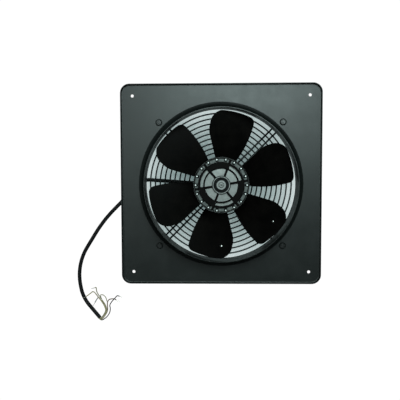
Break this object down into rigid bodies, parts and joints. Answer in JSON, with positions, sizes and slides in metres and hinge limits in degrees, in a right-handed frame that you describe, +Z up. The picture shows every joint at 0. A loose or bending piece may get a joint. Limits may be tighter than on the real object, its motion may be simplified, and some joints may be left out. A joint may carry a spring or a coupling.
{
  "type": "wall plate axial exhaust fan",
  "caption": "Square wall-plate axial exhaust fan: drawn collar, broad-bladed impeller on an external-rotor motor, wire guard, and a power cable with bare core ends.",
  "frame": {"origin": "centre of the opening, in the plane of the plate's guard-side face", "axes": "+Z up; the fan's axis is Y; the wire guard and motor flange are on the +Y side, and the collar and the folded edge of the plate point towards -Y"},
  "size_m": [0.5318, 0.1083, 0.5171],
  "materials": {
    "plate_paint": "satin black-green baked paint over pressed steel",
    "guard_paint": "black dip-coated welded wire",
    "hub_plastic": "moulded glass-filled nylon, near black",
    "cast_aluminium": "die-cast, lightly machined, dull",
    "zinc_steel": "zinc-plated fastener",
    "bearing_steel": "ground and polished",
    "lamination_steel": "stacked electrical sheet",
    "copper": "enamelled copper wire",
    "insulator_plastic": "moulded insulator",
    "cable_jacket": "soft black PVC",
    "wire_yellow_green": "PVC core, yellow with green",
    "wire_white": "PVC core, off-white",
    "wire_cream": "PVC core, cream",
    "wire_grey": "PVC core, grey",
    "wire_black": "PVC core, black",
    "wire_brown": "PVC core, brown",
    "tinned_copper": "tinned strands"
  },
  "bodies": {
    "housing": {"wall_plate": "plate_paint", "guard_nuts": "zinc_steel", "guard_washers": "zinc_steel", "guard_screws": "zinc_steel", "guard_rings": "guard_paint", "guard_struts": "guard_paint", "motor_support_ring": "guard_paint", "motor_washers": "zinc_steel", "motor_screws": "zinc_steel", "stator_flange": "cast_aluminium", "stator_core": "lamination_steel", "slot_insulators": "insulator_plastic", "stator_windings": "copper", "thermal_protector": "insulator_plastic", "front_bearing_outer_race": "bearing_steel", "front_bearing_shields": "bearing_steel", "rear_bearing_outer_race": "bearing_steel", "rear_bearing_shields": "bearing_steel", "preload_spring": "bearing_steel", "bearing_cap": "zinc_steel", "cable_grommet": "cable_jacket", "cable_sheath": "cable_jacket", "core_yellow_green": "wire_yellow_green", "core_white": "wire_white", "core_cream": "wire_cream", "core_grey": "wire_grey", "core_black": "wire_black", "core_brown": "wire_brown", "bare_core_ends": "tinned_copper"},
    "rotor": {"impeller": "hub_plastic", "balance_rivets": "zinc_steel", "rotor_bell": "cast_aluminium", "rotor_laminations": "lamination_steel", "shaft": "bearing_steel", "shaft_spacer": "zinc_steel", "shaft_circlip": "bearing_steel", "front_bearing_inner_race": "bearing_steel", "rear_bearing_inner_race": "bearing_steel"},
    "front_ball_set": {"front_bearing_balls": "bearing_steel", "front_bearing_cage": "bearing_steel"},
    "rear_ball_set": {"rear_bearing_balls": "bearing_steel", "rear_bearing_cage": "bearing_steel"}
  },
  "joints": [
    {"name": "rotor_spin", "type": "hinge", "parent": "housing", "child": "rotor", "pos_m": [0, 0, 0], "axis": [0, 1, 0], "continuous": true},
    {"name": "front_balls_spin", "type": "hinge", "parent": "housing", "child": "front_ball_set", "pos_m": [0, -0.039, 0], "axis": [0, 1, 0], "continuous": true},
    {"name": "rear_balls_spin", "type": "hinge", "parent": "housing", "child": "rear_ball_set", "pos_m": [0, 0.013, 0], "axis": [0, 1, 0], "continuous": true}
  ],
  "couplings": [
    {"joint": "front_balls_spin", "follows": "rotor_spin", "ratio": 0.36477},
    {"joint": "rear_balls_spin", "follows": "rotor_spin", "ratio": 0.36477}
  ]
}
